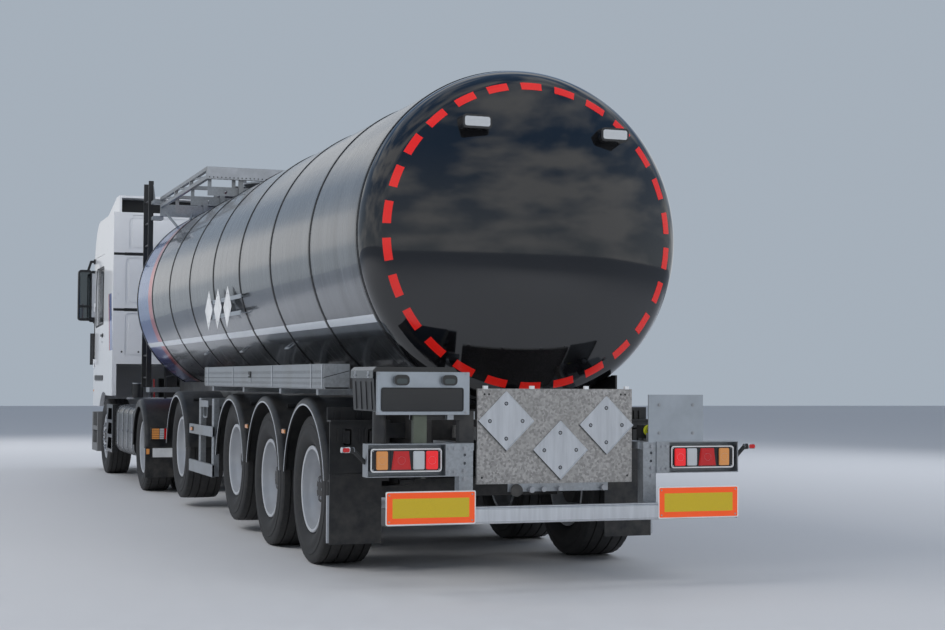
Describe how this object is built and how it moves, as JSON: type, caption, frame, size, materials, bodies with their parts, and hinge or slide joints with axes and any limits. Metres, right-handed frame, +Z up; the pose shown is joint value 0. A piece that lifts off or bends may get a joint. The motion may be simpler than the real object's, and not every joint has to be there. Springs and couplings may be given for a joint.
{
  "type": "tanker truck",
  "caption": "Articulated tanker truck: tractor with tilting cab and steered front axle, pivoting at its kingpin under a round insulated tank semi-trailer.",
  "frame": {"origin": "on the ground under the middle of the whole vehicle's bounding box", "axes": "+X forward, +Y to the vehicle's left, +Z up"},
  "size_m": [14.8, 2.88, 3.78],
  "materials": {
    "tank_black": "gloss",
    "galvanised": "zinc coated",
    "chassis_black": "satin",
    "guard_plastic": "moulded",
    "marking_orange": "reflective",
    "lamp_red": "clear moulded",
    "cast_iron": "painted casting",
    "aluminium": "brushed",
    "cab_white": "gloss",
    "bumper_grey": "satin",
    "clear_lens": "clear",
    "window_glass": "tinted",
    "interior_grey": "grained",
    "tyre_black": "moulded tread",
    "rim_silver": "silver"
  },
  "bodies": {
    "trailer": {"tank": "tank_black", "trailer_frame": "chassis_black", "trailer_running_gear": "chassis_black", "trailer_mudguards": "guard_plastic", "side_guards": "galvanised", "hose_box": "galvanised", "tool_box": "guard_plastic", "rear_frame": "galvanised", "marking_plates": "marking_orange", "rear_lamps": "lamp_red", "sign_panel": "galvanised", "discharge_pipe": "chassis_black", "top_platform": "galvanised"},
    "manhole_lid": {"manhole_lid": "galvanised"},
    "hose_box_lid": {"hose_box_lid": "galvanised"},
    "tool_box_lid": {"tool_box_lid": "guard_plastic"},
    "tractor": {"tractor_frame": "chassis_black", "fifth_wheel": "cast_iron", "tractor_axles": "cast_iron", "engine": "cast_iron", "fuel_tanks": "aluminium", "drive_mudguards": "guard_plastic", "bumper": "bumper_grey", "headlamps": "clear_lens"},
    "cab": {"cab_shell": "cab_white", "cab_front": "cab_white", "roof_deflector": "cab_white", "mirrors": "guard_plastic", "windscreen": "window_glass", "cab_interior": "interior_grey"},
    "trailer_wheel_1_left": {"trailer_tyre_1_left": "tyre_black", "trailer_rim_1_left": "rim_silver"},
    "trailer_wheel_1_right": {"trailer_tyre_1_right": "tyre_black", "trailer_rim_1_right": "rim_silver"},
    "trailer_wheel_2_left": {"trailer_tyre_2_left": "tyre_black", "trailer_rim_2_left": "rim_silver"},
    "trailer_wheel_2_right": {"trailer_tyre_2_right": "tyre_black", "trailer_rim_2_right": "rim_silver"},
    "trailer_wheel_3_left": {"trailer_tyre_3_left": "tyre_black", "trailer_rim_3_left": "rim_silver"},
    "trailer_wheel_3_right": {"trailer_tyre_3_right": "tyre_black", "trailer_rim_3_right": "rim_silver"},
    "trailer_wheel_4_left": {"trailer_tyre_4_left": "tyre_black", "trailer_rim_4_left": "rim_silver"},
    "trailer_wheel_4_right": {"trailer_tyre_4_right": "tyre_black", "trailer_rim_4_right": "rim_silver"},
    "knuckle_left": {"knuckle_left": "cast_iron"},
    "front_wheel_left": {"front_tyre_left": "tyre_black", "front_rim_left": "rim_silver"},
    "drive_wheels_left": {"drive_tyres_left": "tyre_black", "drive_rims_left": "rim_silver"},
    "door_left": {"door_left": "cab_white", "door_glass_left": "window_glass"},
    "knuckle_right": {"knuckle_right": "cast_iron"},
    "front_wheel_right": {"front_tyre_right": "tyre_black", "front_rim_right": "rim_silver"},
    "drive_wheels_right": {"drive_tyres_right": "tyre_black", "drive_rims_right": "rim_silver"},
    "door_right": {"door_right": "cab_white", "door_glass_right": "window_glass"}
  },
  "joints": [
    {"name": "articulation", "type": "hinge", "parent": "trailer", "child": "tractor", "pos_m": [2.96, 0, 1.07], "axis": [0, 0, 1], "range_deg": [-90, 90]},
    {"name": "cab_tilt", "type": "hinge", "parent": "tractor", "child": "cab", "pos_m": [7.2, 0, 0.6], "axis": [0, 1, 0], "range_deg": [0, 60]},
    {"name": "trailer_wheel_1_left_spin", "type": "hinge", "parent": "trailer", "child": "trailer_wheel_1_left", "pos_m": [-0.03, 0.97, 0.6], "axis": [0, 1, 0], "continuous": true},
    {"name": "trailer_wheel_1_right_spin", "type": "hinge", "parent": "trailer", "child": "trailer_wheel_1_right", "pos_m": [-0.03, -0.97, 0.6], "axis": [0, 1, 0], "continuous": true},
    {"name": "trailer_wheel_2_left_spin", "type": "hinge", "parent": "trailer", "child": "trailer_wheel_2_left", "pos_m": [-2.79, 0.97, 0.6], "axis": [0, 1, 0], "continuous": true},
    {"name": "trailer_wheel_2_right_spin", "type": "hinge", "parent": "trailer", "child": "trailer_wheel_2_right", "pos_m": [-2.79, -0.97, 0.6], "axis": [0, 1, 0], "continuous": true},
    {"name": "trailer_wheel_3_left_spin", "type": "hinge", "parent": "trailer", "child": "trailer_wheel_3_left", "pos_m": [-4.12, 0.97, 0.52], "axis": [0, 1, 0], "continuous": true},
    {"name": "trailer_wheel_3_right_spin", "type": "hinge", "parent": "trailer", "child": "trailer_wheel_3_right", "pos_m": [-4.12, -0.97, 0.52], "axis": [0, 1, 0], "continuous": true},
    {"name": "trailer_wheel_4_left_spin", "type": "hinge", "parent": "trailer", "child": "trailer_wheel_4_left", "pos_m": [-5.45, 0.97, 0.52], "axis": [0, 1, 0], "continuous": true},
    {"name": "trailer_wheel_4_right_spin", "type": "hinge", "parent": "trailer", "child": "trailer_wheel_4_right", "pos_m": [-5.45, -0.97, 0.52], "axis": [0, 1, 0], "continuous": true},
    {"name": "steer_left", "type": "hinge", "parent": "tractor", "child": "knuckle_left", "pos_m": [5.96, 0.8, 0.505], "axis": [0, 0, 1], "range_deg": [-40, 40]},
    {"name": "front_wheel_left_spin", "type": "hinge", "parent": "knuckle_left", "child": "front_wheel_left", "pos_m": [5.96, 1.018, 0.505], "axis": [0, 1, 0], "continuous": true},
    {"name": "drive_wheels_left_spin", "type": "hinge", "parent": "tractor", "child": "drive_wheels_left", "pos_m": [2.36, 0.86, 0.505], "axis": [0, 1, 0], "continuous": true},
    {"name": "door_left_swing", "type": "hinge", "parent": "cab", "child": "door_left", "pos_m": [7.036, 1.212, 2], "axis": [0, 0, -1], "range_deg": [0, 75]},
    {"name": "steer_right", "type": "hinge", "parent": "tractor", "child": "knuckle_right", "pos_m": [5.96, -0.8, 0.505], "axis": [0, 0, 1], "range_deg": [-40, 40]},
    {"name": "front_wheel_right_spin", "type": "hinge", "parent": "knuckle_right", "child": "front_wheel_right", "pos_m": [5.96, -1.018, 0.505], "axis": [0, 1, 0], "continuous": true},
    {"name": "drive_wheels_right_spin", "type": "hinge", "parent": "tractor", "child": "drive_wheels_right", "pos_m": [2.36, -0.86, 0.505], "axis": [0, 1, 0], "continuous": true},
    {"name": "door_right_swing", "type": "hinge", "parent": "cab", "child": "door_right", "pos_m": [7.036, -1.212, 2], "axis": [0, 0, 1], "range_deg": [0, 75]},
    {"name": "manhole_lid_lift", "type": "hinge", "parent": "trailer", "child": "manhole_lid", "pos_m": [0.9, 0, 3.4673], "axis": [0, -1, 0], "range_deg": [0, 100]},
    {"name": "hose_box_lid_lift", "type": "hinge", "parent": "trailer", "child": "hose_box_lid", "pos_m": [-3.985, 1.0517, 1.3003], "axis": [1, 0, 0], "range_deg": [0, 100]},
    {"name": "tool_box_lid_lift", "type": "hinge", "parent": "trailer", "child": "tool_box_lid", "pos_m": [-6.953, 0.6567, 1.3003], "axis": [1, 0, 0], "range_deg": [0, 45]}
  ],
  "couplings": [
    {"joint": "steer_right", "follows": "steer_left", "ratio": 1}
  ]
}
